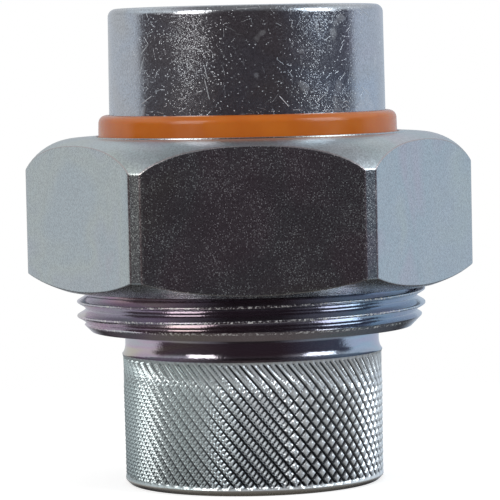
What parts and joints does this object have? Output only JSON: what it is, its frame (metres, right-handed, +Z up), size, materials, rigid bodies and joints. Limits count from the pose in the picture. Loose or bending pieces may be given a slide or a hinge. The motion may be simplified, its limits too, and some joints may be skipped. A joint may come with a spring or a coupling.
{
  "type": "dielectric union",
  "caption": "Dielectric pipe union: a knurled threaded body and a plain tailpiece, both with pipe-thread sockets, drawn together by a hex nut over a gasket and an insulating sleeve.",
  "frame": {"origin": "centre of the lower pipe end's face", "axes": "+Z up the pipe axis from the knurled end to the tailpiece; one flat of the hex nut faces -Y and two of its corners lie on X"},
  "size_m": [0.0566, 0.05, 0.0604],
  "materials": {
    "body_zinc_steel": "bright zinc plating on a turned, knurled surface",
    "gasket_rubber": "matte black rubber",
    "tail_zinc_steel": "bright zinc plating, lightly scratched",
    "sleeve_plastic": "smooth orange moulded plastic",
    "nut_zinc_steel": "bright zinc plating with a faint iridescence"
  },
  "bodies": {
    "lower_end": {"threaded_body": "body_zinc_steel", "sealing_gasket": "gasket_rubber"},
    "sleeve": {"insulating_sleeve": "sleeve_plastic"},
    "nut": {"union_nut": "nut_zinc_steel"},
    "tail": {"tailpiece": "tail_zinc_steel"}
  },
  "joints": [
    {"name": "union_lift", "type": "slide", "parent": "lower_end", "child": "sleeve", "axis": [0, 0, 1], "range_m": [0, 0.00735]},
    {"name": "nut_turn", "type": "hinge", "parent": "sleeve", "child": "nut", "pos_m": [0, 0, 0.0409], "axis": [0, 0, 1], "range_deg": [0, 1440]},
    {"name": "tail_swivel", "type": "hinge", "parent": "sleeve", "child": "tail", "pos_m": [0, 0, 0.0394], "axis": [0, 0, 1], "continuous": true}
  ],
  "couplings": [
    {"joint": "union_lift", "follows": "nut_turn", "m_per_rad": 0.00028875}
  ]
}
